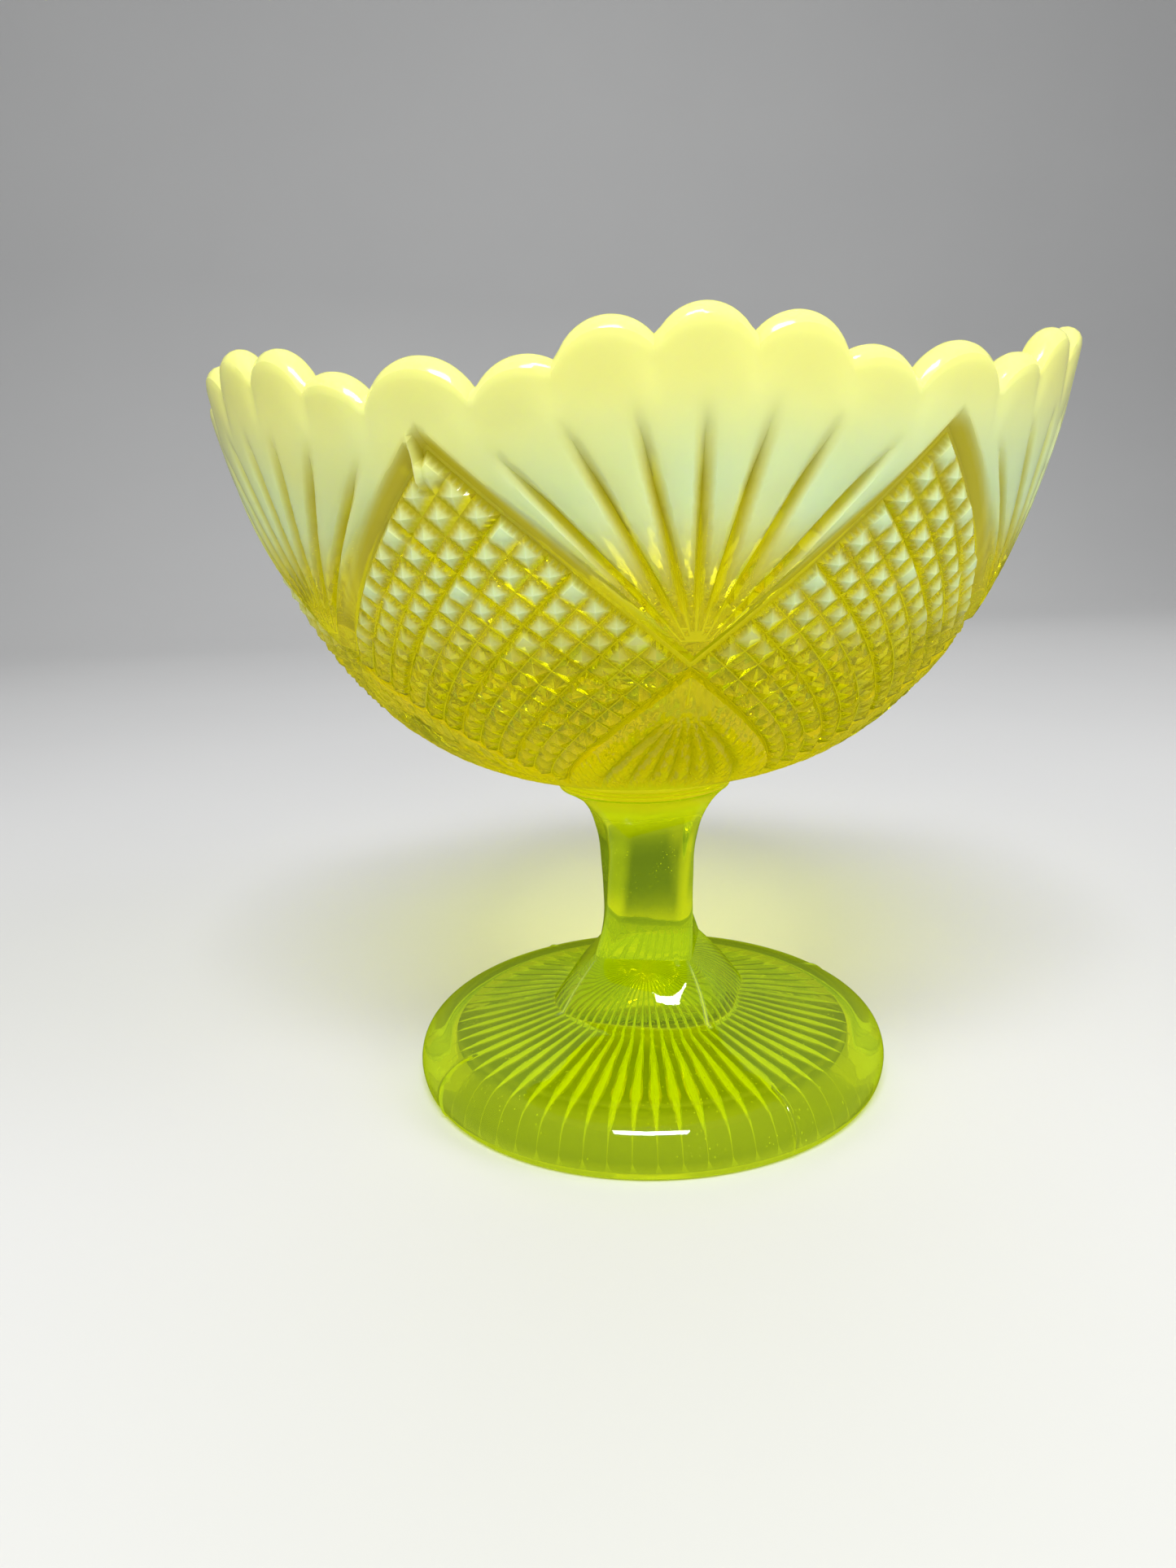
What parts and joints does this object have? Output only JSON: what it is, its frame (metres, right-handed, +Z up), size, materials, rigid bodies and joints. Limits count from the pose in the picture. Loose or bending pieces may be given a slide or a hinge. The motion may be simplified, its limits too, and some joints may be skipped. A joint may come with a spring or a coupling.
{
  "type": "footed glass dish",
  "caption": "Footed pressed-glass dish: round bowl with a scalloped opalescent rim and fan and hobnail pattern, on a square twisted stem and a round ribbed foot.",
  "frame": {"origin": "centre of the foot's underside, on the plane it stands on", "axes": "+Z up along the stem, towards the bowl; a fan of the bowl's pattern faces -Y"},
  "size_m": [0.1828, 0.1848, 0.168],
  "materials": {
    "opalescent_glass": "fire-polished, yellow with an opaque cream rim",
    "clear_uranium_glass": "fire-polished, clear yellow-green"
  },
  "bodies": {
    "root": {"bowl": "opalescent_glass", "wafer": "clear_uranium_glass", "pedestal": "clear_uranium_glass"}
  },
  "joints": []
}
